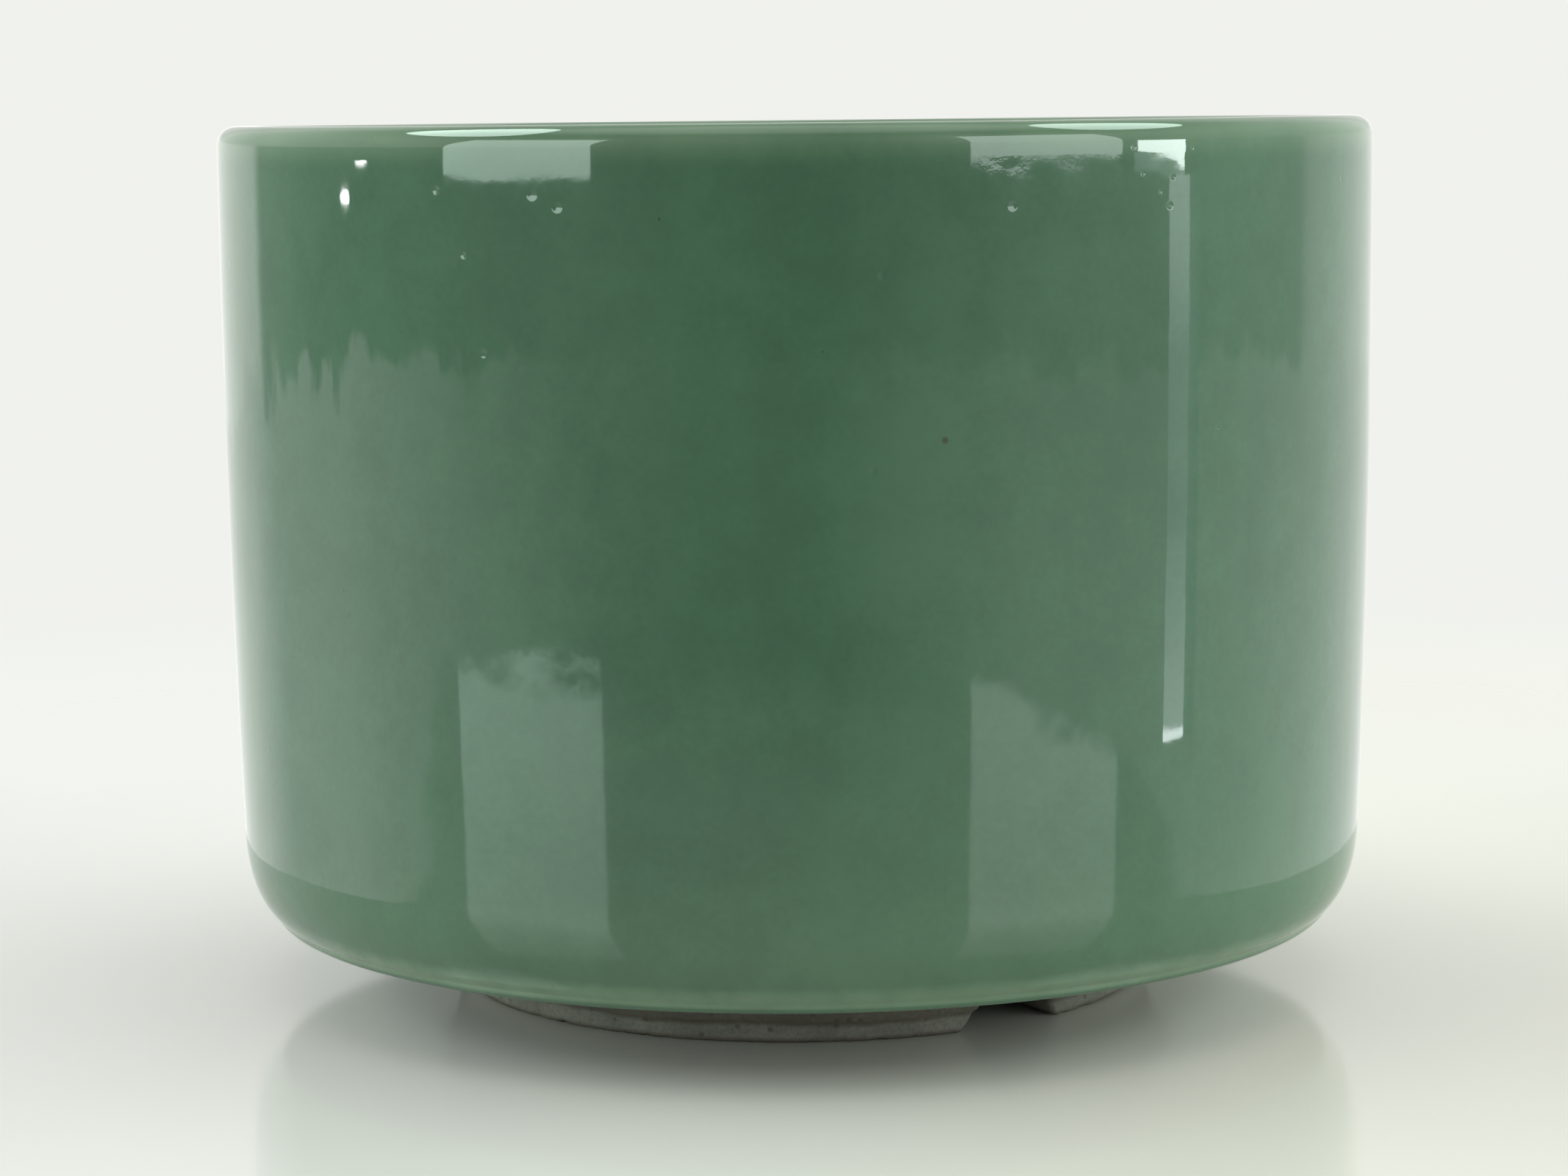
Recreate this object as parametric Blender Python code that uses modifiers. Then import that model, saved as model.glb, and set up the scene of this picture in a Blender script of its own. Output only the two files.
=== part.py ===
"""A round celadon brush pot that stands on a notched foot ring.

Lengths are in metres. Z is up and is the pot's axis, and the feet stand on Z = 0.
A fired pot is one piece of ceramic, so each node is a part with its own material or making:
the clay cup, the three lengths of foot ring between the notches, and the coats of glaze.
The pot's whole surface is one outline, and the glaze and the clay are set in from it.
"""

import math

import bmesh
import bpy

# Driving dimensions
RADIUS = 0.0600
HEIGHT = 0.0900
BASE_Z = 0.0075
GLAZE = 0.0007
GAP = 0.0003
CLAY_INSET = GLAZE + GAP

# Lip: a rounded edge on each side of a narrow flat crest
WALL_THICKNESS = 0.0058
LIP_OUT_WIDTH = 0.0020
LIP_OUT_DROP = 0.0020
LIP_IN_WIDTH = 0.0026
LIP_IN_DROP = 0.0030

# Outer wall, which draws in a little towards its lower corner, and the edge below the corner
WALL_TAPER = 0.0010
TAPER_POWER = 2.7
CORNER_WIDTH = 0.0040
CORNER_RISE = 0.0092
CORNER_END_ANGLE = -72
EDGE_RADIUS = 0.0012

# Well
FLOOR_Z = 0.0145
WELL_FILLET = 0.0090
WELL_TAPER = 0.0012

# Foot ring
FOOT_RADIUS = 0.0362
FOOT_WIDTH = 0.0052
FOOT_TAPER = 0.0004
FOOT_CHAMFER = 0.0003
FOOT_FILLET = 0.0020
FOOT_GLAZE_END = 0.0020
FOOT_TOP = BASE_Z + CLAY_INSET - GAP
RECESS_RADIUS = 0.0304

# Notches: angles in degrees, from the front, which is -Y, towards +X
NOTCH_ANGLES = (35.0, 155.0, 275.0)
NOTCH_WIDTH = 0.0104
NOTCH_ROOF_WIDTH = 0.0072
FOOT_NAMES = ("foot_front", "foot_right", "foot_left")

STEPS = 60
MERGE_DISTANCE = 0.00005
SHARP_ANGLE = math.radians(40)

CELADON = (0.10, 0.20, 0.12)
CLAY = (0.42, 0.40, 0.35)
BISCUIT = (0.30, 0.30, 0.26)


# The outline: points (r, z) from the middle of the well's floor, up the inside, over the lip,
# down the outside and in along the base to the foot. The pot is on the right of the path.


def arc(centre, width, height, start, end, count):
    """Points on an ellipse from one angle to another, in degrees from +r towards +z."""
    points = []
    for i in range(count + 1):
        angle = math.radians(start + (end - start) * i / count)
        points.append((centre[0] + width * math.cos(angle), centre[1] + height * math.sin(angle)))
    return points


def well_outline():
    """The inside, from the middle of the floor to the middle of the lip's crest."""
    wall = RADIUS - WALL_THICKNESS
    fillet = (wall - WELL_TAPER - WELL_FILLET, FLOOR_Z + WELL_FILLET)
    lip = (wall + LIP_IN_WIDTH, HEIGHT - LIP_IN_DROP)
    points = [(0.0, FLOOR_Z)]
    points += arc(fillet, WELL_FILLET, WELL_FILLET, -90, 0, 5)
    points += arc(lip, LIP_IN_WIDTH, LIP_IN_DROP, 180, 90, 4)
    return points


def wall_outline():
    """The outside, from the lip's crest down to a little way in under the lower edge."""
    top = HEIGHT - LIP_OUT_DROP
    bottom = BASE_Z + CORNER_RISE
    points = arc((RADIUS - LIP_OUT_WIDTH, top), LIP_OUT_WIDTH, LIP_OUT_DROP, 90, 0, 4)
    stretches = 5
    for i in range(1, stretches):
        share = i / stretches
        radius = RADIUS - WALL_TAPER * share**TAPER_POWER
        points.append((radius, top + (bottom - top) * share))
    corner = (RADIUS - WALL_TAPER - CORNER_WIDTH, bottom)
    corner_height = CORNER_RISE - EDGE_RADIUS / 2
    points += arc(corner, CORNER_WIDTH, corner_height, 0, CORNER_END_ANGLE, 5)
    edge = (points[-1][0] - EDGE_RADIUS, BASE_Z + EDGE_RADIUS)
    points += arc(edge, EDGE_RADIUS, EDGE_RADIUS, -30, -90, 2)
    points.append((edge[0] - EDGE_RADIUS, BASE_Z))
    return points


def base_outline():
    """The base, from beside the wall's outline in to the foot and down to the glaze's end."""
    start = wall_outline()[-1][0] - GAP
    foot = FOOT_RADIUS + CLAY_INSET + FOOT_TAPER
    fillet = (foot + FOOT_FILLET, BASE_Z - FOOT_FILLET)
    points = [(start, BASE_Z)]
    points += arc(fillet, FOOT_FILLET, FOOT_FILLET, 90, 180, 4)
    points.append((foot - FOOT_TAPER / 2, FOOT_GLAZE_END))
    return points


def set_in(points, depth):
    """The path moved into the pot by a depth, along the normals of its stretches."""
    moved = []
    last = len(points) - 1
    for i, point in enumerate(points):
        normals = []
        for a, b in ((points[max(i - 1, 0)], point), (point, points[min(i + 1, last)])):
            length = math.dist(a, b)
            if length > 0:
                normals.append(((b[1] - a[1]) / length, (a[0] - b[0]) / length))
        r_sum = sum(normal[0] for normal in normals)
        z_sum = sum(normal[1] for normal in normals)
        size = math.hypot(r_sum, z_sum)
        r_unit = r_sum / size
        z_unit = z_sum / size
        reach = depth / (r_unit * normals[0][0] + z_unit * normals[0][1])
        moved.append((point[0] + r_unit * reach, point[1] + z_unit * reach))
    return moved


def cup_outline():
    clay = set_in(well_outline() + wall_outline(), CLAY_INSET)
    return clay + [(0.0, BASE_Z + CLAY_INSET)]


def foot_outline():
    """The whole foot ring's section, which follows the clay surface under the base's glaze."""
    clay = set_in(base_outline(), CLAY_INSET)[2:]
    inner = FOOT_RADIUS - FOOT_WIDTH
    points = [(RECESS_RADIUS, FOOT_TOP)]
    points += [(r, min(z, FOOT_TOP)) for r, z in clay]
    points += [(FOOT_RADIUS, FOOT_CHAMFER), (FOOT_RADIUS - FOOT_CHAMFER, 0.0)]
    points += [(inner + FOOT_CHAMFER, 0.0), (inner, FOOT_CHAMFER)]
    return points


def recess_outline():
    """The coat on the base inside the foot ring, thinner at its rim."""
    edge = RECESS_RADIUS - GAP
    return [
        (0.0, BASE_Z + GLAZE),
        (edge, BASE_Z + GLAZE),
        (edge, BASE_Z + GLAZE / 3),
        (edge - GLAZE, BASE_Z),
        (0.0, BASE_Z),
    ]


# Modelling


def clear_scene():
    for old in list(bpy.data.objects):
        bpy.data.objects.remove(old, do_unlink=True)


def new_collection(name):
    collection = bpy.data.collections.new(name)
    bpy.context.scene.collection.children.link(collection)
    return collection


def new_material(name, colour, roughness):
    material = bpy.data.materials.new(name)
    material.use_nodes = True
    shader = material.node_tree.nodes["Principled BSDF"]
    shader.inputs["Base Color"].default_value = (*colour, 1.0)
    shader.inputs["Roughness"].default_value = roughness
    shader.inputs["Metallic"].default_value = 0.0
    return material


def turned(name, outline, collection, material):
    """Turns an outline about Z. It closes on itself unless it starts on the axis."""
    mesh = bpy.data.meshes.new(name)
    count = len(outline)
    edges = [(i, i + 1) for i in range(count - 1)]
    if outline[0][0] > 0:
        edges.append((count - 1, 0))
    mesh.from_pydata([(r, 0.0, z) for r, z in outline], edges, [])
    mesh.materials.append(material)
    piece = bpy.data.objects.new(name, mesh)
    collection.objects.link(piece)
    screw = piece.modifiers.new("turn", "SCREW")
    screw.axis = "Z"
    screw.angle = math.tau
    screw.steps = STEPS
    screw.render_steps = STEPS
    screw.use_merge_vertices = True
    screw.merge_threshold = MERGE_DISTANCE
    return piece


def coat(name, outline, collection, material):
    """A coat of glaze: a stretch of the surface, and the same stretch at the glaze's depth."""
    back = set_in(outline, GLAZE)[::-1]
    return turned(name, outline + back, collection, material)


def notch_cutter(name, angle, roof, collection):
    """A slot across the foot ring, widest where the foot stands."""
    bottom = -0.001
    near = 0.022
    far = 0.046
    narrowing = (NOTCH_WIDTH - NOTCH_ROOF_WIDTH) / BASE_Z
    mesh = bpy.data.meshes.new(name)
    block = bmesh.new()
    bmesh.ops.create_cube(block, size=1.0)
    for vert in block.verts:
        z = roof if vert.co.z > 0 else bottom
        half = (NOTCH_WIDTH - narrowing * z) / 2
        vert.co.x = math.copysign(half, vert.co.x)
        vert.co.y = -far if vert.co.y < 0 else -near
        vert.co.z = z
    block.to_mesh(mesh)
    block.free()
    cutter = bpy.data.objects.new(name, mesh)
    cutter.rotation_euler = (0.0, 0.0, math.radians(angle))
    cutter.hide_render = True
    cutter.display_type = "WIRE"
    collection.objects.link(cutter)
    return cutter


def cut_notches(piece, roof, collection):
    for number, angle in enumerate(NOTCH_ANGLES, 1):
        cutter = notch_cutter(f"{piece.name}_notch_{number}", angle, roof, collection)
        modifier = piece.modifiers.new(f"notch_{number}", "BOOLEAN")
        modifier.operation = "DIFFERENCE"
        modifier.object = cutter


def settle(piece):
    """Applies the piece's modifiers, and shades its round faces smooth."""
    bpy.context.view_layer.update()
    evaluated = piece.evaluated_get(bpy.context.evaluated_depsgraph_get())
    mesh = bpy.data.meshes.new_from_object(evaluated)
    mesh.name = piece.name
    piece.modifiers.clear()
    piece.data = mesh
    mesh.shade_smooth()
    mesh.set_sharp_from_angle(angle=SHARP_ANGLE)


def front_angle(point):
    """Degrees round from the front towards +X, from 0 to 360."""
    return math.degrees(math.atan2(point.x, -point.y)) % 360.0


def foot_length(name, ring, start, end, collection):
    """One length of the notched ring: the faces whose middles lie between two notches."""
    mesh = ring.data.copy()
    mesh.name = name
    length = bmesh.new()
    length.from_mesh(mesh)
    span = (end - start) % 360.0
    others = []
    for face in length.faces:
        if (front_angle(face.calc_center_median()) - start) % 360.0 > span:
            others.append(face)
    bmesh.ops.delete(length, geom=others, context="FACES")
    length.to_mesh(mesh)
    length.free()
    foot = bpy.data.objects.new(name, mesh)
    collection.objects.link(foot)
    return foot


def build():
    clear_scene()
    parts = new_collection("celadon_brush_pot")
    cutters = new_collection("cutters")
    glaze = new_material("celadon_glaze", CELADON, 0.06)
    clay = new_material("clay_body", CLAY, 0.75)
    biscuit = new_material("bare_foot", BISCUIT, 0.8)

    cup = turned("clay_cup", cup_outline(), parts, clay)
    outer = coat("outer_glaze", wall_outline(), parts, glaze)
    inner = coat("inner_glaze", well_outline(), parts, glaze)
    base = coat("base_glaze", base_outline(), parts, glaze)
    recess = turned("recess_glaze", recess_outline(), parts, glaze)
    cut_notches(base, BASE_Z - 0.0002, cutters)
    for piece in (cup, outer, inner, base, recess):
        settle(piece)

    ring = turned("foot_ring", foot_outline(), cutters, biscuit)
    cut_notches(ring, FOOT_TOP + 0.001, cutters)
    settle(ring)
    starts = NOTCH_ANGLES[-1:] + NOTCH_ANGLES[:-1]
    for name, start, end in zip(FOOT_NAMES, starts, NOTCH_ANGLES):
        foot_length(name, ring, start, end, parts)
    bpy.data.objects.remove(ring, do_unlink=True)


build()
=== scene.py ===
"""The looks of a celadon brush pot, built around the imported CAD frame.

The frame gives the size. Every surface that shows is rebuilt finer than its CAD solid and inside
its box: the coats of glaze are turned from one outline, and the three lengths of foot ring are
built up level by level. Lengths are in metres, Z is up, and the camera looks along +Y.
"""

import math

import bmesh
import bpy
import numpy as np
from mathutils import Matrix, Vector, noise


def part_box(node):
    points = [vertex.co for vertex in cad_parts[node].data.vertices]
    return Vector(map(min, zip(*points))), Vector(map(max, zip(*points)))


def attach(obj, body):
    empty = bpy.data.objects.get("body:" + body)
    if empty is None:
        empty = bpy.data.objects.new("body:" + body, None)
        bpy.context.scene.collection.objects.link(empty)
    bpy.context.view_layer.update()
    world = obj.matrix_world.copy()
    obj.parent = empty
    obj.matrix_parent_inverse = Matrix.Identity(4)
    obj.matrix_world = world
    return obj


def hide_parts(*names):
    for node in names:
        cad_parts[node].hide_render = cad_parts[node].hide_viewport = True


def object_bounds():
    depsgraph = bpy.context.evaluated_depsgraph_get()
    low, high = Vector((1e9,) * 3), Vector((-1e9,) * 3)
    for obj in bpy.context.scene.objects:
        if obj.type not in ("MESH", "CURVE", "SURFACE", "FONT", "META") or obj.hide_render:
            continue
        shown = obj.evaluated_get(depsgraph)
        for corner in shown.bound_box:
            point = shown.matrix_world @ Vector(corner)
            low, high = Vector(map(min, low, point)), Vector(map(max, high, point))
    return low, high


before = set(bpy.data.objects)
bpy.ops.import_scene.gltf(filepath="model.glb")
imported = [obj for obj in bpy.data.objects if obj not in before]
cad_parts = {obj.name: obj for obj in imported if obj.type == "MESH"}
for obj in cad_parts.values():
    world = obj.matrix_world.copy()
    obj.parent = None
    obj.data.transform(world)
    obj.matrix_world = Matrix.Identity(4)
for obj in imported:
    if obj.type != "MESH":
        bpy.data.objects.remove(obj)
cad_low, cad_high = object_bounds()

MM = 0.001

# Sizes that the frame gives
RADIUS = cad_high.x
HEIGHT = cad_high.z
BASE_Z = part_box("outer_glaze")[0].z
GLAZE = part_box("base_glaze")[1].z - BASE_Z
FLOOR_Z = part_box("inner_glaze")[0].z + GLAZE

# The pot's outline
WALL_THICKNESS = 5.8 * MM
LIP_OUT_WIDTH = 2.0 * MM
LIP_OUT_DROP = 2.0 * MM
LIP_IN_WIDTH = 2.6 * MM
LIP_IN_DROP = 3.0 * MM
LIP_SEAM = RADIUS - 2.8 * MM
WALL_TAPER = 1.0 * MM
TAPER_POWER = 2.7
CORNER_WIDTH = 4.0 * MM
CORNER_RISE = 9.2 * MM
CORNER_END_ANGLE = -72
EDGE_RADIUS = 1.2 * MM
EDGE_START_ANGLE = -25
WELL_FILLET = 9.0 * MM
WELL_TAPER = 1.2 * MM
BASE_SEAM = 53.7 * MM
STEPS = 288

# How far throwing takes the shape from a true turned one
WORKED_FROM = 30 * MM
WORKED_OVER = 20 * MM
OVAL_DEPTH = 0.012 * MM
RING_DEPTH = 0.006 * MM
RING_TURN = 41
DRIFT_DEPTH = 0.012 * MM
BACK_DIP = 0.18 * MM
RIM_WAVE_DEPTH = 0.012 * MM

# The foot ring
FOOT_RADIUS = 36.2 * MM
FOOT_WIDTH = 5.2 * MM
FOOT_LEAN = 0.2
RECESS_LEAN = 0.07
FOOT_FILLET = 2.0 * MM
FOOT_CORNER = 0.6 * MM
LEAST_CORNER = 0.08 * MM
NOTCH_ANGLES = (35.0, 155.0, 275.0)
NOTCH_WIDTH = 11.6 * MM
NOTCH_ROOF_WIDTH = 6.8 * MM
NOTCH_FLARE_TOP = 5.0 * MM
NOTCH_FLARE_POWER = 1.3
FOOT_INNER_POINTS = 130
FOOT_OUTER_POINTS = 150

# The edge of the glaze on the foot, and the grain and chips in the bare clay below it
GLAZE_LINE = 2.0 * MM
LINE_SWING = 0.35 * MM
LINE_WAVER = 0.16 * MM
LINE_REACH = 2.0 * MM
ROLL_DEPTH = 0.22 * MM
ROLL_WAVER = 0.08 * MM
ROLL_EDGE = 0.45 * MM
ROLL_FADE_FROM = 5.2 * MM
ROLL_FADE_OVER = 1.8 * MM
COARSE_GRAIN = 0.05 * MM
FINE_GRAIN = 0.035 * MM
CHIP_DEPTH = 0.55 * MM
CHIP_TOP = 0.7 * MM

SHARP_ANGLE = math.radians(50)


# Outlines: points (r, z), with the pot on the right of the path


def arc(centre, width, height, start, end, count):
    """Points along a stretch of an ellipse, with both ends; the angles are in degrees."""
    angles = np.radians(np.linspace(start, end, count + 1))
    return [(centre[0] + width * math.cos(a), centre[1] + height * math.sin(a)) for a in angles]


def straight(start, end, count):
    """Points between two ends, with neither end."""
    shares = np.linspace(0, 1, count + 2)[1:-1]
    return [(start[0] + (end[0] - start[0]) * s, start[1] + (end[1] - start[1]) * s) for s in shares]


def well_outline():
    """The inside, from the middle of the floor to the seam on the lip's crest."""
    wall = RADIUS - WALL_THICKNESS
    fillet = (wall - WELL_TAPER - WELL_FILLET, FLOOR_Z + WELL_FILLET)
    lip = (wall + LIP_IN_WIDTH, HEIGHT - LIP_IN_DROP)
    floor = straight((0.0, FLOOR_Z), (fillet[0], FLOOR_Z), 14)
    bend = arc(fillet, WELL_FILLET, WELL_FILLET, -90, 0, 14)
    edge = arc(lip, LIP_IN_WIDTH, LIP_IN_DROP, 180, 90, 12)
    return [(0.0, FLOOR_Z)] + floor + bend + straight(bend[-1], edge[0], 40) + edge + [(LIP_SEAM, HEIGHT)]


def wall_outline():
    """The outside, from the seam on the lip's crest to the seam under the base."""
    top = HEIGHT - LIP_OUT_DROP
    bottom = BASE_Z + CORNER_RISE
    points = [(LIP_SEAM, HEIGHT)]
    points += arc((RADIUS - LIP_OUT_WIDTH, top), LIP_OUT_WIDTH, LIP_OUT_DROP, 90, 0, 16)
    for share in np.linspace(0, 1, 62)[1:-1]:
        radius = RADIUS - WALL_TAPER * share**TAPER_POWER
        points.append((radius, top + (bottom - top) * share))
    corner = (RADIUS - WALL_TAPER - CORNER_WIDTH, bottom)
    corner_height = CORNER_RISE - EDGE_RADIUS / 2
    points += arc(corner, CORNER_WIDTH, corner_height, 0, CORNER_END_ANGLE, 18)
    edge = (points[-1][0] - EDGE_RADIUS, BASE_Z + EDGE_RADIUS)
    points += arc(edge, EDGE_RADIUS, EDGE_RADIUS, EDGE_START_ANGLE, -90, 7)
    points.append((BASE_SEAM, BASE_Z))
    return points


def base_outline():
    """The underside, from its seam in to the axis."""
    return [(BASE_SEAM, BASE_Z)] + straight((BASE_SEAM, BASE_Z), (0.0, BASE_Z), 26) + [(0.0, BASE_Z)]


def set_in(points, depth):
    """The path moved into the pot by a depth, along the normals of its stretches."""
    path = np.array(points)
    steps = np.diff(path, axis=0)
    normals = np.column_stack((steps[:, 1], -steps[:, 0]))
    normals /= np.linalg.norm(normals, axis=1)[:, None]
    before = np.vstack((normals[:1], normals))
    after = np.vstack((normals, normals[-1:]))
    mean = before + after
    reach = depth * 2 / np.sum(mean * mean, axis=1)
    return [tuple(p) for p in path + mean * reach[:, None]]


# The hand of the potter: small departures from a true turned shape


def thrown(r, angle, z):
    """Moves points of the turned shape: the wall never goes outside the CAD's, nor the rim above."""
    height = z / HEIGHT
    oval = OVAL_DEPTH * (1 - np.cos(2 * angle + 0.6))
    rings = RING_DEPTH * (1 - np.cos(RING_TURN * height + 1.3 * np.sin(angle)))
    drift = DRIFT_DEPTH * (1 - np.sin(3 * angle + 5 * height))
    outside = np.clip((r - WORKED_FROM) / WORKED_OVER, 0, 1)
    new_r = r - outside * (oval + rings + drift) * np.clip(height * 5, 0, 1)
    rise = np.clip((z - 0.8 * HEIGHT) / (0.2 * HEIGHT), 0, 1) ** 2
    back = np.clip(-np.cos(angle), 0, 1)
    dip = BACK_DIP * back + RIM_WAVE_DEPTH * (1 - np.cos(5 * angle + 1.0))
    return new_r, z - rise * dip


def finish_mesh(name, vertices, faces):
    """An object with its normals outwards, smooth but for its sharp edges."""
    mesh = bpy.data.meshes.new(name)
    mesh.from_pydata(vertices, [], faces)
    body = bmesh.new()
    body.from_mesh(mesh)
    bmesh.ops.recalc_face_normals(body, faces=body.faces)
    body.to_mesh(mesh)
    body.free()
    mesh.shade_smooth()
    mesh.set_sharp_from_angle(angle=SHARP_ANGLE)
    piece = bpy.data.objects.new(name, mesh)
    bpy.context.scene.collection.objects.link(piece)
    return piece


def turned(name, outline):
    """A closed body turned from an outline, in rings; a point on the axis is one vertex."""
    angles = np.arange(STEPS) * math.tau / STEPS
    vertices = []
    rings = []
    for r, z in outline:
        start = len(vertices)
        if r < 1e-9:
            vertices.append((0.0, 0.0, z))
            rings.append([start] * STEPS)
            continue
        new_r, new_z = thrown(np.full(STEPS, r), angles, np.full(STEPS, z))
        xs = new_r * np.sin(angles)
        ys = -new_r * np.cos(angles)
        vertices += list(zip(xs.tolist(), ys.tolist(), new_z.tolist()))
        rings.append(list(range(start, start + STEPS)))
    faces = []
    pairs = list(zip(rings, rings[1:]))
    if outline[0][0] > 0 and outline[-1][0] > 0:
        pairs.append((rings[-1], rings[0]))
    for upper, lower in pairs:
        for i in range(STEPS):
            j = (i + 1) % STEPS
            corners = dict.fromkeys((upper[i], upper[j], lower[j], lower[i]))
            if len(corners) > 2:
                faces.append(tuple(corners))
    return finish_mesh(name, vertices, faces)


def coat(name, outline):
    """A coat of glaze: a stretch of the outline, and the same stretch at the glaze's depth."""
    return turned(name, outline + set_in(outline, GLAZE)[::-1])


# The foot ring, length by length


def notch_side(level):
    """Round one end of a length of foot: (along, across) from its outer face to its inner face."""
    outer, inner, half, corner = level
    across = half + corner
    rounds = []
    for radius, at_outer_face in ((outer - corner, True), (inner + corner, False)):
        along = math.sqrt(radius**2 - across**2)
        face = math.atan2(across, along)
        start, end = (face, -math.pi / 2) if at_outer_face else (-math.pi / 2, face - math.pi)
        angles = [start + (end - start) * share for share in np.linspace(0, 1, 7)]
        rounds.append([(along + corner * math.cos(a), across + corner * math.sin(a)) for a in angles])
    outer_round, inner_round = rounds
    return outer_round + straight(outer_round[-1], inner_round[0], 8) + inner_round


def by_notch(notch, along, across):
    """The (x, y) of a point out along the middle of a notch and across from it."""
    x = along * math.sin(notch) + across * math.cos(notch)
    y = along * -math.cos(notch) + across * math.sin(notch)
    return x, y


def round_axis(radius, start, end, count):
    """The (x, y) of points round the axis between two angles, with neither end."""
    angles = np.linspace(start, end, count + 2)[1:-1]
    return [(radius * math.sin(a), -radius * math.cos(a)) for a in angles]


def foot_loop(level, start, end):
    """The outline of one length at one level, once round, as (x, y)."""
    outer, inner = level[:2]
    side = notch_side(level)
    outer_turn = math.atan2(side[0][1], side[0][0])
    inner_turn = math.atan2(side[-1][1], side[-1][0])
    loop = [by_notch(end, along, -across) for along, across in side]
    loop += round_axis(inner, end - inner_turn, start + inner_turn, FOOT_INNER_POINTS)
    loop += [by_notch(start, along, across) for along, across in reversed(side)]
    loop += round_axis(outer, start + outer_turn, end - outer_turn, FOOT_OUTER_POINTS)
    return loop


def foot_level(z, inset):
    """Outer and inner radius, half the notch's width and the corner's radius at a height."""
    above = max(z - (BASE_Z - FOOT_FILLET), 0.0)
    flare = FOOT_FILLET - math.sqrt(max(FOOT_FILLET**2 - above**2, 0.0))
    grow = flare - inset
    flare_out = (1 - min(z / NOTCH_FLARE_TOP, 1.0)) ** NOTCH_FLARE_POWER
    half = (NOTCH_ROOF_WIDTH + (NOTCH_WIDTH - NOTCH_ROOF_WIDTH) * flare_out) / 2
    outer = FOOT_RADIUS + FOOT_LEAN * z + grow
    inner = FOOT_RADIUS - FOOT_WIDTH - RECESS_LEAN * z - grow
    return outer, inner, half - grow, max(FOOT_CORNER + grow, LEAST_CORNER)


# The levels of a length, from the ground up, in mm: (height, how far the outline is set in).
# The first five lie on the ground, and the last closes the length inside the base.
FOOT_LEVELS = [(0.0, 2.3), (0.0, 1.7), (0.0, 1.1), (0.0, 0.6), (0.0, 0.32)]
FOOT_LEVELS += [(0.05, 0.16), (0.16, 0.05), (0.32, 0.0)]
FOOT_LEVELS += [(z, 0.0) for z in (0.55, 0.8, 1.05, 1.3, 1.55, 1.8)]
LINE_LEVEL = len(FOOT_LEVELS)
FOOT_LEVELS += [(z, 0.0) for z in (2.0, 2.12, 2.24, 2.4, 2.65, 3.0, 3.5, 4.1, 4.8, 5.5)]
FOOT_LEVELS += [(z, 0.0) for z in (6.0, 6.4, 6.75, 7.05, 7.28, 7.42, 7.49)]
FOOT_LEVELS += [(7.9, 1.2)]


def rough(point, scale, seed):
    """Smooth unevenness, from about -1 to 1; a larger scale is finer."""
    return noise.noise(Vector(point) * scale + Vector((seed, 2 * seed, 3 * seed)))


def glaze_line(x, y):
    """Where the glaze ends on the foot: a line that wanders up and down."""
    return GLAZE_LINE + LINE_SWING * rough((x, y, 0), 90, 5) + LINE_WAVER * rough((x, y, 0), 420, 9)


def foot_body(start, end):
    """One length's vertices and faces, and how far each vertex is below the glaze's line."""
    vertices = []
    below = []
    loops = []
    for z_mm, inset_mm in FOOT_LEVELS:
        z = z_mm * MM
        loop = foot_loop(foot_level(min(z, BASE_Z), inset_mm * MM), start, end)
        loops.append(range(len(vertices), len(vertices) + len(loop)))
        for x, y in loop:
            line = glaze_line(x, y)
            if z < GLAZE_LINE:
                new_z = z * line / GLAZE_LINE
            else:
                fall = min((z - GLAZE_LINE) / LINE_REACH, 1.0)
                new_z = z + (line - GLAZE_LINE) * (1 - fall)
            vertices.append((x, y, new_z))
            below.append(line - new_z)
    count = len(loops[0])
    faces = [tuple(loops[0])]
    for lower, upper in zip(loops, loops[1:]):
        for i in range(count):
            j = (i + 1) % count
            faces.append((lower[i], lower[j], upper[j], upper[i]))
    faces.append(tuple(reversed(loops[-1])))
    return vertices, faces, below


def swell(point, below):
    """How far a vertex moves out: by grain and chips in bare clay, or by the roll of the glaze."""
    z = point[2]
    if below > 0:
        grain = FINE_GRAIN * rough(point, 1500, 1) + COARSE_GRAIN * rough(point, 380, 2)
        chip = max(rough(point, 620, 3) - 0.10, 0.0) * max(1 - z / CHIP_TOP, 0.0)
        return grain - CHIP_DEPTH * chip
    edge = math.sin(min(-below / ROLL_EDGE, 1.0) * math.pi / 2)
    fade = max(1 - max(z - ROLL_FADE_FROM, 0.0) / ROLL_FADE_OVER, 0.0)
    return fade * edge * (ROLL_DEPTH + ROLL_WAVER * rough(point, 160, 4))


def foot(name, start, end):
    """One length of the foot ring between two notches: bare clay below the line, glaze above it."""
    vertices, faces, below = foot_body(start, end)
    piece = finish_mesh(name, vertices, faces)
    mesh = piece.data

    normals = np.empty(len(vertices) * 3)
    mesh.vertex_normals.foreach_get("vector", normals)
    moved = []
    for point, normal, depth in zip(vertices, normals.reshape(-1, 3), below):
        new = Vector(point) + Vector(normal) * swell(point, depth)
        new.z = max(new.z, 0.0)
        moved.append(new)
    mesh.vertices.foreach_set("co", np.array(moved).ravel())
    mesh.update()

    attribute = mesh.attributes.new("below_glaze", "FLOAT", "POINT")
    attribute.data.foreach_set("value", np.array(below, np.float32))
    # The first face is the one on the ground, and each level then adds a ring of faces
    faces_in_level = len(vertices) // len(FOOT_LEVELS)
    slots = np.zeros(len(mesh.polygons), np.int32)
    slots[1 + LINE_LEVEL * faces_in_level:] = 1
    mesh.polygons.foreach_set("material_index", slots)
    return piece


# Materials


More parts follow.
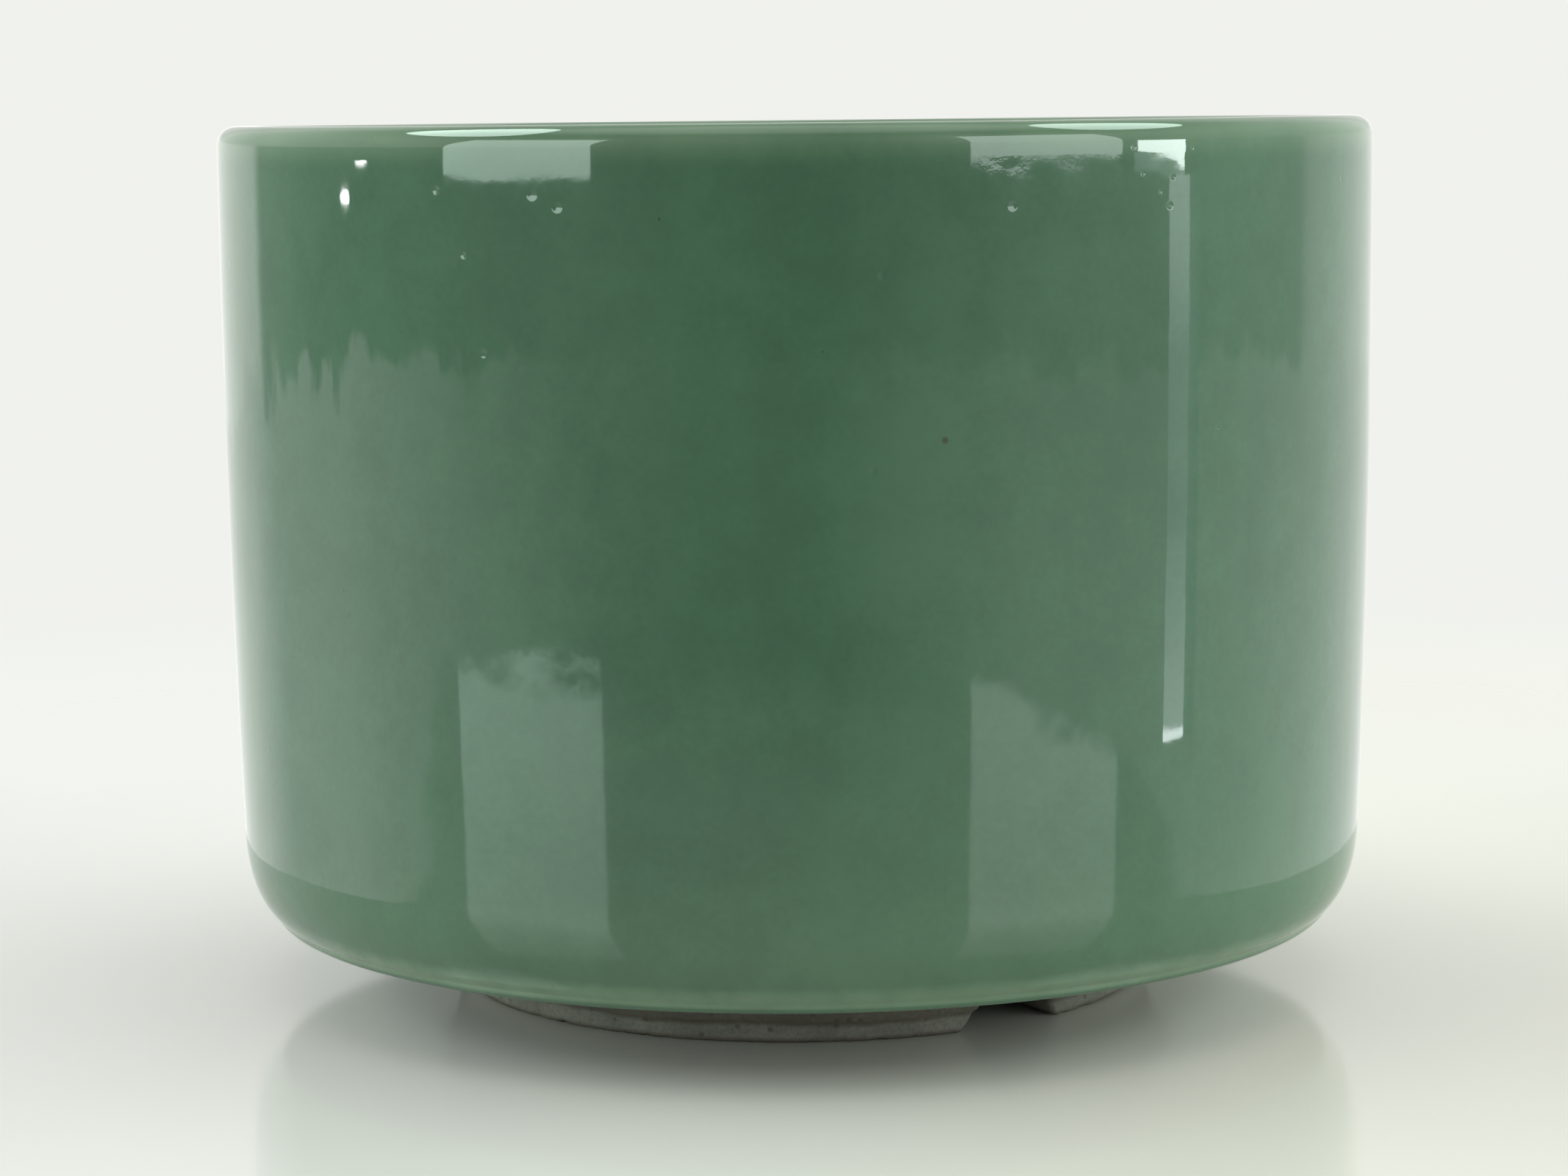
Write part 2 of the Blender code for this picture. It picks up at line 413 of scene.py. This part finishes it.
class Graph:
    """Short calls for building a node tree."""

    def __init__(self, tree):
        self.tree = tree
        tree.nodes.clear()

    def node(self, kind, inputs=(), **settings):
        made = self.tree.nodes.new(kind)
        for key, value in settings.items():
            setattr(made, key, value)
        for key, value in dict(inputs).items():
            if isinstance(value, bpy.types.NodeSocket):
                self.tree.links.new(value, made.inputs[key])
            else:
                made.inputs[key].default_value = value
        return made

    def math(self, operation, a, b=0.0):
        return self.node("ShaderNodeMath", {0: a, 1: b}, operation=operation).outputs[0]

    def total(self, *parts):
        """The sum of some values, each times its weight."""
        result, *others = [self.math("MULTIPLY", value, weight) for value, weight in parts]
        for other in others:
            result = self.math("ADD", result, other)
        return result

    def ramp(self, value, low, high, to_low=0.0, to_high=1.0):
        """Goes smoothly from one value to another as the input goes from low to high."""
        inputs = {"Value": value, "From Min": low, "From Max": high, "To Min": to_low, "To Max": to_high}
        return self.node("ShaderNodeMapRange", inputs, interpolation_type="SMOOTHSTEP").outputs[0]

    def noise(self, vector, scale, detail=2.0, roughness=0.5):
        inputs = {"Vector": vector, "Scale": scale, "Detail": detail, "Roughness": roughness}
        return self.node("ShaderNodeTexNoise", inputs).outputs["Fac"]

    def spots(self, vector, scale, low, high):
        """Sparse round spots, 1 inside: (mask, random value of the spot)."""
        made = self.node("ShaderNodeTexVoronoi", {"Vector": vector, "Scale": scale})
        chance = self.node("ShaderNodeSeparateColor", {0: made.outputs["Color"]}).outputs[0]
        return self.ramp(made.outputs["Distance"], low, high, 1.0, 0.0), chance

    def blend(self, factor, a, b):
        """Goes straight from one value to another as the factor goes from 0 to 1."""
        inputs = {"Value": factor, "To Min": a, "To Max": b}
        return self.node("ShaderNodeMapRange", inputs).outputs[0]

    def mix(self, factor, a, b):
        made = self.node("ShaderNodeMix", data_type="RGBA")
        for socket, value in ((made.inputs[0], factor), (made.inputs[6], a), (made.inputs[7], b)):
            if isinstance(value, bpy.types.NodeSocket):
                self.tree.links.new(value, socket)
            else:
                socket.default_value = value if isinstance(value, float) else (*value, 1.0)
        return made.outputs[2]

    def levels(self, value, low, high, stops):
        """A light level that goes straight from stop to stop: (value, level)."""
        share = self.node("ShaderNodeMapRange", {"Value": value, "From Min": low, "From Max": high})
        made = self.node("ShaderNodeValToRGB", {0: share.outputs[0]})
        elements = made.color_ramp.elements
        for i, (at, level) in enumerate(stops):
            position = (at - low) / (high - low)
            element = elements[i] if i < 2 else elements.new(position)
            element.position = position
            element.color = (level, level, level, 1.0)
        return made.outputs[0]

    def point(self):
        """The point being shaded, in the frame."""
        return self.node("ShaderNodeTexCoord").outputs["Object"]

    def axes(self, vector):
        return self.node("ShaderNodeSeparateXYZ", {0: vector}).outputs

    def from_axis(self, vector):
        """A point's distance from the pot's axis."""
        x, y = self.axes(vector)[:2]
        flat = self.node("ShaderNodeCombineXYZ", {0: x, 1: y}).outputs[0]
        return self.node("ShaderNodeVectorMath", {0: flat}, operation="LENGTH").outputs["Value"]


def new_material(name):
    material = bpy.data.materials.new(name)
    material.use_nodes = True
    return material, Graph(material.node_tree)


def surface(g, colour, roughness, bump):
    normal = g.node("ShaderNodeBump", {"Strength": 1.0, "Distance": 1.0, "Height": bump})
    shader = g.node("ShaderNodeBsdfPrincipled", {
        "Base Color": colour, "Roughness": roughness, "IOR": 1.5, "Normal": normal.outputs[0],
    })
    g.node("ShaderNodeOutputMaterial", {"Surface": shader.outputs[0]})


CELADON_POOLED = (0.038, 0.095, 0.052)
CELADON_DEEP = (0.046, 0.110, 0.064)
CELADON = (0.065, 0.147, 0.087)
# Pale green of thin glaze, also used as painted highlight over the lip
CELADON_THIN_AND_HIGHLIGHT = (0.19, 0.28, 0.18)
IRON = (0.045, 0.050, 0.028)
FOOT_CLAY_PALE = (0.30, 0.29, 0.25)
FOOT_CLAY_DEEP = (0.20, 0.195, 0.165)
BODY_CLAY_PALE = (0.42, 0.40, 0.35)
BODY_CLAY_DEEP = (0.34, 0.32, 0.28)
# Brown beside the glaze line, also used as painted contact shade at the ground
FLASH_AND_CONTACT_SHADE_BROWN = (0.085, 0.062, 0.040)
DARK_SAND = (0.10, 0.07, 0.045)

# How deep the unevenness of the surfaces goes
RIPPLE_DEPTH = 0.016 * MM
PEEL_DEPTH = 0.0012 * MM
PIT_DEPTH = 0.05 * MM
DENT_DEPTH = 0.05 * MM
GRAIN_DEPTH = 0.03 * MM

# Flaws in the glaze on the wall: (degrees from the front towards +X, height, half the width)
DENTS = (
    (-33.6, 84.1 * MM, 0.50 * MM), (-23.7, 83.7 * MM, 0.60 * MM), (-21.3, 82.6 * MM, 0.60 * MM),
    (-30.8, 78.2 * MM, 0.40 * MM), (18.9, 82.3 * MM, 0.55 * MM), (31.0, 87.4 * MM, 0.35 * MM),
    (32.0, 85.0 * MM, 0.30 * MM), (35.4, 84.6 * MM, 0.35 * MM), (33.9, 83.3 * MM, 0.25 * MM),
    (35.0, 82.0 * MM, 0.45 * MM), (37.6, 87.2 * MM, 0.25 * MM), (7.2, 76.2 * MM, 0.50 * MM),
    (6.3, 58.6 * MM, 0.50 * MM), (-47.0, 46.0 * MM, 0.40 * MM), (41.0, 61.0 * MM, 0.35 * MM),
)
SPECKS = (
    (-46.4, 43.6 * MM, 0.55 * MM), (-12.0, 81.5 * MM, 0.22 * MM), (15.0, 50.5 * MM, 0.25 * MM),
    (29.0, 35.0 * MM, 0.22 * MM), (-27.0, 26.5 * MM, 0.25 * MM), (2.0, 69.5 * MM, 0.18 * MM),
)


def flaws(g, vector, table):
    """1 in the middle of each flaw of a table, going smoothly to 0 at its rim."""
    total = 0.0
    for degrees, z, half in table:
        angle = math.radians(degrees)
        centre = (RADIUS * math.sin(angle), -RADIUS * math.cos(angle), z)
        away = g.node("ShaderNodeVectorMath", {0: vector, 1: centre}, operation="DISTANCE")
        total = g.math("ADD", total, g.ramp(away.outputs["Value"], 0.0, half, 1.0, 0.0))
    return total


def thin_glaze_and_painted_light(g, z, r, runs, mottle):
    """How thin the glaze is, with painted light: over the lip, partly painted highlight; along the lower
    edge, with painted shade under it; and a little way up from it.
    """
    # Over the lip: thin glaze, made paler still as painted highlight from the bright light above
    lip = g.ramp(z, HEIGHT - 4.2 * MM, HEIGHT - 1.0 * MM, 0.0, 0.55)
    lip = g.math("MULTIPLY", lip, g.ramp(runs, 0.25, 0.75, 0.6, 1.0))
    outer_face = g.ramp(r, 52 * MM, 54.5 * MM)
    from_above = g.ramp(z, BASE_Z + 3.8 * MM, BASE_Z + 1.2 * MM)
    # Deep green kept under the pale edge band: painted shade on the edge's downward face
    above_painted_shade = g.ramp(z, BASE_Z + 0.3 * MM, BASE_Z + 0.9 * MM)
    edge = g.math("MULTIPLY", g.math("MULTIPLY", from_above, above_painted_shade), outer_face)
    edge = g.math("MULTIPLY", edge, g.ramp(mottle, 0.2, 0.7, 0.50, 0.75))
    corner = g.math("MULTIPLY", g.ramp(z, BASE_Z + 17 * MM, BASE_Z + 3 * MM, 0.0, 0.13), outer_face)
    return g.math("MAXIMUM", g.math("MAXIMUM", lip, edge), corner)


def celadon():
    """Glossy green glass, paler where it is thin and deeper where it pools, with specks and pits."""
    material, g = new_material("celadon_glaze")
    vector = g.point()
    z = g.axes(vector)[2]
    r = g.from_axis(vector)
    cloud = g.noise(vector, 26, 4.0, 0.55)
    run_vector = g.node("ShaderNodeMapping", {"Vector": vector, "Scale": (1.0, 1.0, 0.22)}).outputs[0]
    runs = g.noise(run_vector, 70, 3.0)
    mottle = g.noise(vector, 230, 3.0, 0.6)
    grain = g.noise(vector, 1400, 2.0)

    depth = g.total((cloud, 0.9), (runs, 0.45), (mottle, 0.4), (grain, 0.25))
    colour = g.mix(g.ramp(depth, 0.72, 1.28), CELADON_DEEP, CELADON)
    in_well = g.ramp(r, 53.5 * MM, 53.0 * MM)
    pooled = g.math("MULTIPLY", g.ramp(z, FLOOR_Z + 9 * MM, FLOOR_Z, 0.0, 0.45), in_well)
    colour = g.mix(pooled, colour, CELADON_POOLED)
    # Paler where the glaze is thin, with painted highlight on the lip and painted shade under the lower
    # edge
    colour = g.mix(thin_glaze_and_painted_light(g, z, r, runs, mottle), colour, CELADON_THIN_AND_HIGHLIGHT)

    speck, chance = g.spots(vector, 62, 0.010, 0.026)
    speck = g.math("MULTIPLY", speck, g.ramp(chance, 0.62, 0.66, 0.0, 0.85))
    speck = g.math("MAXIMUM", speck, g.ramp(flaws(g, vector, SPECKS), 0.15, 0.7, 0.0, 0.9))
    colour = g.mix(speck, colour, IRON)

    pit, chance = g.spots(vector, 105, 0.012, 0.055)
    pit = g.math("MULTIPLY", pit, g.ramp(chance, 0.45, 0.5))
    pit = g.math("MULTIPLY", pit, g.ramp(z, 0.70 * HEIGHT, 0.92 * HEIGHT, 0.12, 1.0))
    ripple = g.noise(vector, 115, 2.0)
    peel = g.noise(vector, 620, 3.0, 0.6)
    bump = g.total((ripple, RIPPLE_DEPTH), (peel, PEEL_DEPTH))
    bump = g.math("SUBTRACT", bump, g.math("MULTIPLY", pit, PIT_DEPTH))
    bump = g.math("SUBTRACT", bump, g.math("MULTIPLY", flaws(g, vector, DENTS), DENT_DEPTH))
    surface(g, colour, g.ramp(mottle, 0.3, 0.7, 0.015, 0.035), bump)
    return material


def bare_clay(name, pale, deep, flash_and_contact_shade):
    """Unglazed clay: grainy, and on the foot brown beside the glaze and darker brown towards the ground,
    as painted contact shade.
    """
    material, g = new_material(name)
    vector = g.point()
    blotch = g.noise(vector, 160, 4.0, 0.6)
    grain = g.noise(vector, 2600, 3.0, 0.7)
    sand, chance = g.spots(vector, 900, 0.18, 0.36)
    colour = g.mix(g.ramp(blotch, 0.3, 0.7), deep, pale)
    colour = g.mix(g.ramp(grain, 0.35, 0.75, 0.0, 0.5), colour, tuple(c * 0.6 for c in deep))
    dark_sand = g.math("MULTIPLY", sand, g.ramp(chance, 0.7, 0.75, 0.0, 0.6))
    colour = g.mix(dark_sand, colour, DARK_SAND)
    if flash_and_contact_shade:
        below = g.node("ShaderNodeAttribute", attribute_name="below_glaze").outputs["Fac"]
        flash = g.ramp(below, 0.05 * MM, 0.5 * MM, 0.55, 0.0)
        # Darker brown towards the ground: painted contact shade where the foot meets the table
        contact_shade = g.ramp(g.axes(vector)[2], 0.12 * MM, 0.75 * MM, 0.8, 0.0)
        contact_shade = g.math("MULTIPLY", contact_shade, g.ramp(blotch, 0.25, 0.6, 0.6, 1.0))
        colour = g.mix(g.math("MAXIMUM", flash, contact_shade), colour, FLASH_AND_CONTACT_SHADE_BROWN)
    bump = g.total((grain, GRAIN_DEPTH), (sand, GRAIN_DEPTH))
    surface(g, colour, g.ramp(blotch, 0.3, 0.7, 0.7, 0.9), bump)
    return material


# The object


def paint(piece, *materials):
    piece.data.materials.clear()
    for material in materials:
        piece.data.materials.append(material)


glaze = celadon()
bare = bare_clay("bare_foot_clay", FOOT_CLAY_PALE, FOOT_CLAY_DEEP, flash_and_contact_shade=True)
clay = bare_clay("body_clay", BODY_CLAY_PALE, BODY_CLAY_DEEP, flash_and_contact_shade=False)

COATS = (
    ("glaze_wall", wall_outline(), ("outer_glaze",)),
    ("glaze_well", well_outline(), ("inner_glaze",)),
    ("glaze_underside", base_outline(), ("base_glaze", "recess_glaze")),
)
for name, outline, nodes in COATS:
    piece = coat(name, outline)
    paint(piece, glaze)
    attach(piece, "root")
    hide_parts(*nodes)

# Each length of foot, and the notches that it lies between
FEET = (("front", 2, 0), ("right", 0, 1), ("left", 1, 2))
for side, start, end in FEET:
    start_angle = math.radians(NOTCH_ANGLES[start])
    end_angle = math.radians(NOTCH_ANGLES[end])
    if end_angle < start_angle:
        start_angle -= math.tau
    piece = foot("foot_length_" + side, start_angle, end_angle)
    paint(piece, bare, glaze)
    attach(piece, "root")
    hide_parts("foot_" + side)

paint(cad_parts["clay_cup"], clay)


# The stage: a glossy table top, a room that gives the soft light, and lamps and panes in reflections

TABLE_RADIUS = 0.42
TABLE_LEFT = (0.74, 0.71, 0.70)
# Painted warm shade for the table's right half
TABLE_RIGHT_WARM_SHADE = (0.735, 0.70, 0.645)
TABLE_SMEAR = (0.4, 0.4, 0.38)
# Painted shade for the table's front
TABLE_FRONT_SHADE = (0.20, 0.20, 0.19)


def table_top():
    """A white table, painted warm shade on the right and darker shade in front, that fades out in front of
    the camera and ends raggedly in reflections.
    """
    bpy.ops.mesh.primitive_circle_add(vertices=128, radius=TABLE_RADIUS, fill_type="NGON")
    table = bpy.context.active_object
    table.name = "table_top"
    material, g = new_material("white_table")
    vector = g.point()
    x, y = g.axes(vector)[:2]
    r = g.from_axis(vector)
    smear = g.noise(vector, 18, 4.0)
    # Warmer and a little darker on the right: painted warm shade on the table
    colour = g.mix(g.ramp(x, -0.06, 0.06), TABLE_LEFT, TABLE_RIGHT_WARM_SHADE)
    colour = g.mix(g.ramp(smear, 0.3, 0.7, 0.0, 0.06), colour, TABLE_SMEAR)
    # Darker towards the front, out of the picture: painted shade on the table
    colour = g.mix(g.ramp(y, -0.14, -0.30), colour, TABLE_FRONT_SHADE)
    shader = g.node("ShaderNodeBsdfPrincipled", {
        "Base Color": colour, "Roughness": g.ramp(smear, 0.3, 0.7, 0.09, 0.13), "IOR": 1.48,
    })
    see_through = g.node("ShaderNodeBsdfTransparent")

    ragged = g.math("ADD", r, g.math("MULTIPLY", g.noise(vector, 16, 6.0, 0.65), 0.20))
    ragged = g.math("ADD", ragged, g.ramp(x, 0.10, 0.22, 0.0, 0.10))
    beside = g.math("MULTIPLY", g.ramp(y, -0.12, 0.0, 0.0, 0.30), g.ramp(r, 0.085, 0.125))
    ragged = g.math("ADD", ragged, beside)
    gone_in_gloss = g.ramp(ragged, 0.355, 0.395)
    under = g.node("ShaderNodeNewGeometry").outputs["Backfacing"]
    gone_in_view = g.math("MAXIMUM", g.ramp(r, 0.10, 0.36), under)
    path = g.node("ShaderNodeLightPath")
    for_camera = g.math("MULTIPLY", gone_in_view, path.outputs["Is Camera Ray"])
    for_gloss = g.math("MULTIPLY", gone_in_gloss, path.outputs["Is Glossy Ray"])
    factor = g.math("MAXIMUM", for_camera, for_gloss)
    mixed = g.node("ShaderNodeMixShader", {0: factor, 1: shader.outputs[0], 2: see_through.outputs[0]})
    g.node("ShaderNodeOutputMaterial", {"Surface": mixed.outputs[0]})
    paint(table, material)


# Light levels round the room: (degrees from the front towards +X, level)
WALLS = (
    (-180, 0.82), (-160, 0.85), (-144, 2.20), (-124, 4.70), (-102, 5.20), (-85, 4.90), (-70, 3.70),
    (-45, 1.00), (-32, 0.30), (0, 0.25), (15, 0.30), (28, 0.60), (40, 1.40), (65, 4.00), (90, 5.10),
    (120, 4.40), (144, 2.10), (160, 0.85), (180, 0.82),
)
HORIZON = (
    (-180, 1.10), (-140, 1.30), (-132, 1.35), (-129, 0.52), (-100, 0.45), (-45, 0.42), (-20, 0.18),
    (5, 0.15), (30, 0.42), (60, 0.75), (90, 0.85), (115, 0.80), (118, 1.15), (140, 1.15), (180, 1.05),
)
FAR_TABLE = (
    (-180, 1.00), (-138, 1.15), (-124, 1.00), (-100, 1.45), (-75, 1.15), (-60, 0.85), (-40, 0.50),
    (-20, 0.22), (5, 0.20), (25, 0.55), (45, 0.95), (75, 1.15), (95, 1.20), (130, 1.15), (180, 0.95),
)

# Tilts from the horizon, in degrees, over which one part of the room gives way to the next
TABLE_EDGE = (-3.9, -4.4)
WALLS_FOOT = (2.0, 5.0)
CEILING_EDGE = (30.0, 50.0)
TABLE_EDGE_WANDER = 5.0

PALE_BACKDROP = (0.875, 0.885, 0.85, 1.0)
ROOM_WHITE = (1.0, 1.0, 0.97)
ROOM_GREEN = (0.84, 1.0, 0.92)


def room():
    """Dim in front and bright at the sides, with a ceiling; the camera sees it all pale."""
    world = bpy.data.worlds.new("pale_room")
    world.use_nodes = True
    bpy.context.scene.world = world
    g = Graph(world.node_tree)
    direction = g.node("ShaderNodeTexCoord").outputs["Generated"]
    x, y, z = g.axes(direction)
    turn = g.math("DEGREES", g.math("ARCTAN2", x, g.math("MULTIPLY", y, -1.0)))
    tilt = g.math("DEGREES", g.math("ARCSINE", z))
    squashed = g.node("ShaderNodeMapping", {"Vector": direction, "Scale": (1.0, 1.0, 3.0)}).outputs[0]
    wander = g.math("SUBTRACT", g.noise(squashed, 5.0, 7.0, 0.62), 0.5)
    edge = g.math("ADD", tilt, g.math("MULTIPLY", wander, TABLE_EDGE_WANDER))
    horizon = g.levels(turn, -180, 180, HORIZON)
    far_table = g.levels(turn, -180, 180, FAR_TABLE)
    is_table = g.ramp(edge, *TABLE_EDGE)
    far_table = g.math("MULTIPLY", far_table, g.ramp(edge, -5.0, -9.0, 1.0, 1.1))
    low = g.blend(is_table, horizon, far_table)
    walls = g.levels(turn, -180, 180, WALLS)
    ceiling = g.math("ADD", g.ramp(y, -0.6, 0.3, 0.06, 0.46), g.ramp(z, 0.82, 0.96, 0.0, 1.08))
    seen = g.node("ShaderNodeLightPath")
    # Reflections see the walls no brighter than 1, so the lamps stand out in them
    walls = g.blend(seen.outputs["Is Glossy Ray"], walls, g.math("MINIMUM", walls, 1.0))
    level = g.blend(g.ramp(tilt, *WALLS_FOOT), low, walls)
    level = g.blend(g.ramp(tilt, *CEILING_EDGE), level, ceiling)
    tint = g.mix(g.ramp(level, 1.9, 4.0), ROOM_WHITE, ROOM_GREEN)
    light = g.node("ShaderNodeBackground", {"Color": tint, "Strength": level})
    pale = g.node("ShaderNodeBackground", {"Color": PALE_BACKDROP, "Strength": 1.0})
    mixed = g.node("ShaderNodeMixShader", {
        0: seen.outputs["Is Camera Ray"], 1: light.outputs[0], 2: pale.outputs[0],
    })
    g.node("ShaderNodeOutputWorld", {"Surface": mixed.outputs[0]})


def lamp(name, place, target, width, height, radiance, colour, shape, turn=0.0):
    """A lamp that only shows as a reflection; the room gives the soft light."""
    light = bpy.data.lights.new(name, "AREA")
    light.shape = shape
    light.size = width
    light.size_y = height
    light.color = colour
    light.energy = radiance * math.pi * width * height
    piece = bpy.data.objects.new(name, light)
    piece.location = place
    away = Vector(place) - Vector(target)
    piece.rotation_euler = away.to_track_quat("Z", "Y").to_euler()
    piece.rotation_euler.z += math.radians(turn)
    piece.visible_camera = False
    piece.visible_diffuse = False
    bpy.context.scene.collection.objects.link(piece)


def window(name, azimuth, distance, width, bottom, top, radiance, colour, shape):
    """An upright lamp; azimuth runs from the front towards +X."""
    angle = math.radians(azimuth)
    middle = (top + bottom) / 2
    place = (distance * math.sin(angle), -distance * math.cos(angle), middle)
    lamp(name, place, (0.0, 0.0, middle), width, top - bottom, radiance, colour, shape)


def pane(name, azimuth, distance, corners, radiance, colour):
    """A flat bright shape, from its corners (across, up), that only shows as a reflection."""
    angle = math.radians(azimuth)
    out = Vector((math.sin(angle), -math.cos(angle), 0.0)) * distance
    along = Vector((math.cos(angle), math.sin(angle), 0.0))
    mesh = bpy.data.meshes.new(name)
    vertices = [out + along * across + Vector((0, 0, up)) for across, up in corners]
    mesh.from_pydata(vertices, [], [range(len(corners))])
    piece = bpy.data.objects.new(name, mesh)
    bpy.context.scene.collection.objects.link(piece)
    material, g = new_material(name)
    shader = g.node("ShaderNodeEmission", {"Color": (*colour, 1.0), "Strength": radiance})
    g.node("ShaderNodeOutputMaterial", {"Surface": shader.outputs[0]})
    paint(piece, material)
    piece.visible_camera = False
    piece.visible_diffuse = False
    piece.visible_shadow = False


CARD_WIDTH = 0.024
CARD_HEIGHT = 0.0812
CARD_CLEARANCE = 0.001
CARD_DISTANCE = 0.201
CARD_AZIMUTH = math.radians(67.9)
CARD_COLOUR = (0.93, 1.0, 1.0, 1.0)

# Light up the bright edge of the card: (share of its height above the middle, level)
CARD_CORE = ((-0.5, 0.90), (-0.35, 0.75), (-0.1, 0.45), (0.2, 0.45), (0.35, 0.75), (0.5, 0.90))
CARD_CORE_GAIN = 4.0
CARD_SPARK = 9.0
CARD_AFTER_BOUNCE = 1.1


def side_card():
    """A narrow bright card just above the table at the right, out of the picture."""
    bpy.ops.mesh.primitive_plane_add(size=1.0)
    card = bpy.context.active_object
    card.name = "side_card"
    card.data.transform(Matrix.Diagonal((CARD_WIDTH, CARD_HEIGHT, 1.0, 1.0)))
    x, y = CARD_DISTANCE * math.sin(CARD_AZIMUTH), -CARD_DISTANCE * math.cos(CARD_AZIMUTH)
    card.matrix_world = (
        Matrix.Translation((x, y, CARD_HEIGHT / 2 + CARD_CLEARANCE))
        @ Matrix.Rotation(CARD_AZIMUTH, 4, "Z") @ Matrix.Rotation(math.radians(90), 4, "X")
    )
    material, g = new_material("side_card")
    across, up = g.axes(g.point())[:2]
    bottom, top = -0.5 * CARD_HEIGHT, 0.5 * CARD_HEIGHT
    core = g.levels(up, bottom, top, [(share * CARD_HEIGHT, level) for share, level in CARD_CORE])
    spark = g.ramp(up, bottom + 0.0016, bottom + 0.0008, 0.0, CARD_SPARK)
    core = g.math("ADD", g.math("MULTIPLY", core, CARD_CORE_GAIN), spark)
    core = g.math("MULTIPLY", core, g.ramp(across, 0.0044, 0.0032))
    tail = g.ramp(across, 0.012, -0.004, 1.0, 1.5)
    level = g.math("MAXIMUM", core, tail)
    bounced = g.math("GREATER_THAN", g.node("ShaderNodeLightPath").outputs["Ray Depth"], 1.5)
    level = g.blend(bounced, level, CARD_AFTER_BOUNCE)
    shader = g.node("ShaderNodeEmission", {"Color": CARD_COLOUR, "Strength": level})
    g.node("ShaderNodeOutputMaterial", {"Surface": shader.outputs[0]})
    paint(card, material)
    card.visible_camera = False
    card.visible_shadow = False


WHITE = (1.0, 1.0, 1.0)
COOL = (0.88, 1.0, 0.96)
GREENISH = (0.80, 1.0, 0.90)

WINDOW_DISTANCE = 1.5
WINDOW_WIDTH = 0.83
WINDOW_TOP = 1.05
GLINT_DISTANCE = 1.56
WALL_DISTANCE = 1.6

# Upright lamps: name, azimuth, distance, width, bottom, top, radiance, colour, shape
WINDOWS = (
    ("left_window", -53.7, WINDOW_DISTANCE, WINDOW_WIDTH, 0.0635, WINDOW_TOP, 5.5, GREENISH, "RECTANGLE"),
    ("right_window", 47.8, WINDOW_DISTANCE, WINDOW_WIDTH, 0.0685, WINDOW_TOP, 4.5, COOL, "RECTANGLE"),
    ("glint_high", -90.0, GLINT_DISTANCE, 0.100, 0.0722, 0.0750, 28.0, WHITE, "ELLIPSE"),
    ("glint_low", -95.0, GLINT_DISTANCE, 0.080, 0.042, 0.0530, 26.0, WHITE, "ELLIPSE"),
)
for settings in WINDOWS:
    window(*settings)

PANE_AZIMUTH = 72.5

# Corners of the panes: (across, up)
WINDOW_CORNERS = (
    (-0.15, 0.17), (-0.15, 0.0795), (-0.05, 0.0715), (0.11, 0.0636), (0.14, 0.0642), (0.15, 0.08),
    (0.15, 0.17),
)
WALL_CORNERS = (
    (-0.14, 0.078), (-0.19, 0.070), (-0.18, 0.063), (0.04, 0.057), (0.16, 0.057), (0.14, 0.070),
)
pane("side_window", PANE_AZIMUTH, WINDOW_DISTANCE, WINDOW_CORNERS, 17.0, COOL)
pane("side_wall", PANE_AZIMUTH, WALL_DISTANCE, WALL_CORNERS, 2.2, COOL)

CEILING_X = 1.30
CEILING_Y = 0.45
CEILING_Z = 2.0
CEILING_LAMP_WIDTH = 0.95
CEILING_LAMP_TURN = 33.0
for side, sign, length, radiance in (("left", -1, 1.80, 7.0), ("right", 1, 1.70, 6.0)):
    place = (sign * CEILING_X, CEILING_Y, CEILING_Z)
    target = (sign * CEILING_X, CEILING_Y, 0.0)
    turn = sign * CEILING_LAMP_TURN
    lamp(side + "_ceiling", place, target, CEILING_LAMP_WIDTH, length, radiance, GREENISH, "ELLIPSE", turn)
side_card()
table_top()
room()


# The camera: a long lens at the height of the rim, tipped a little down and to one side

CAMERA_PLACE = (-0.0016, -0.4047, 0.0915)
CAMERA_PITCH = math.radians(-7.17)
CAMERA_ROLL = math.radians(-0.61)
CAMERA_LENS = 88.02

camera_data = bpy.data.cameras.new("camera")
camera_data.sensor_width = 36.0
camera_data.lens = CAMERA_LENS
camera_data.clip_start = 0.01
camera = bpy.data.objects.new("camera", camera_data)
aim = Matrix.Rotation(math.pi / 2 + CAMERA_PITCH, 4, "X") @ Matrix.Rotation(CAMERA_ROLL, 4, "Z")
camera.matrix_world = Matrix.Translation(CAMERA_PLACE) @ aim
bpy.context.scene.collection.objects.link(camera)
bpy.context.scene.camera = camera
bpy.context.scene.view_settings.view_transform = "Standard"
